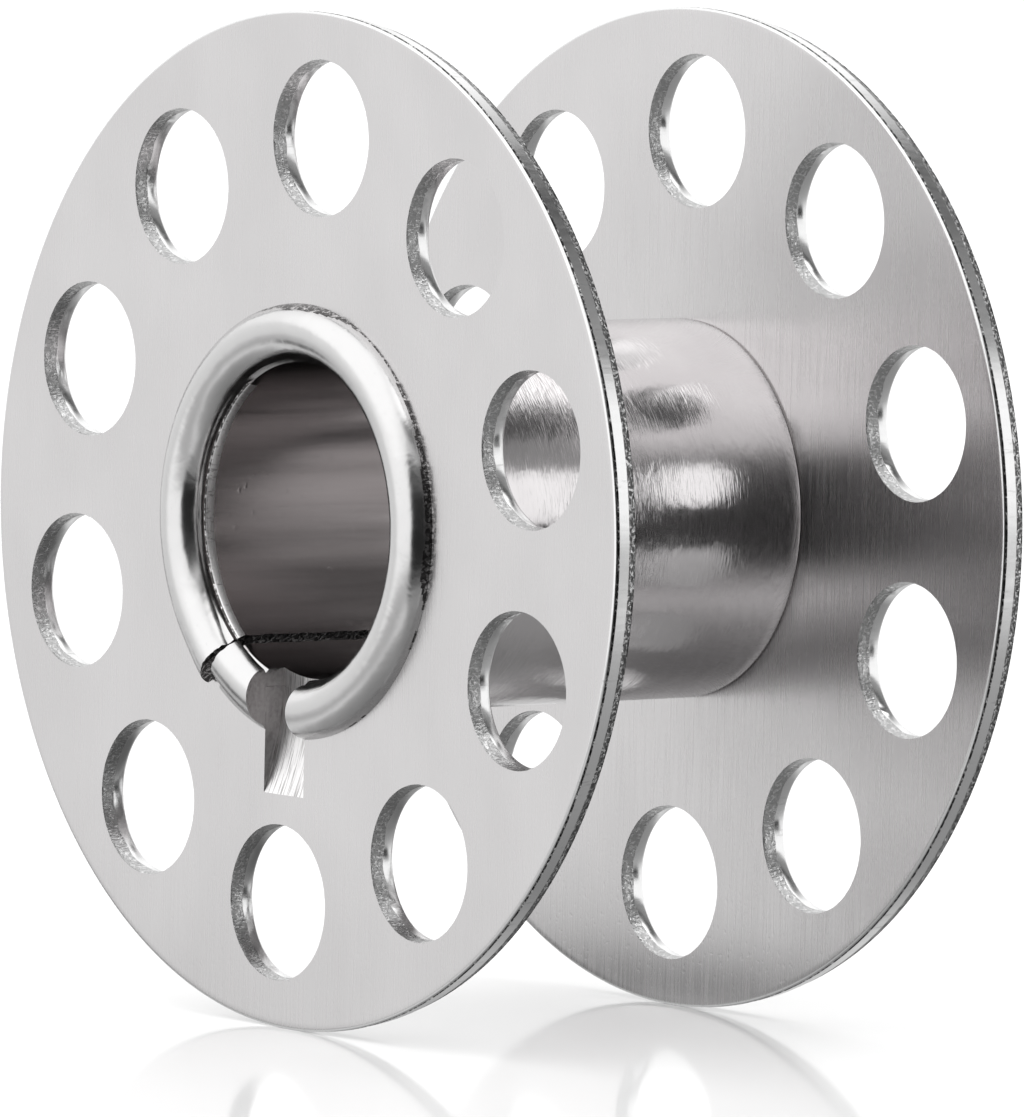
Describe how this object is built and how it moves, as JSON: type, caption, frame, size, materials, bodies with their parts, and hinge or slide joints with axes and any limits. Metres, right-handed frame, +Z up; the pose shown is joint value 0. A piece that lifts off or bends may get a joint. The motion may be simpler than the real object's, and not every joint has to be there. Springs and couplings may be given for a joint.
{
  "type": "sewing machine bobbin",
  "caption": "Steel sewing machine bobbin: two flat flanges with a ring of round holes, riveted on a rolled hub sleeve with a seam and a milled notch.",
  "frame": {"origin": "middle of the bobbin's axis, halfway between its two curled ends", "axes": "+Y along the bobbin's axis from the notched front end to the rear end, +Z up with the bobbin standing on its two rims"},
  "size_m": [0.0202, 0.0112, 0.0202],
  "materials": {
    "flange_plate": "fine brushed nickel plate",
    "sleeve_plate": "satin nickel plate"
  },
  "bodies": {
    "root": {"front_flange": "flange_plate", "rear_flange": "flange_plate", "hub_sleeve": "sleeve_plate"}
  },
  "joints": []
}
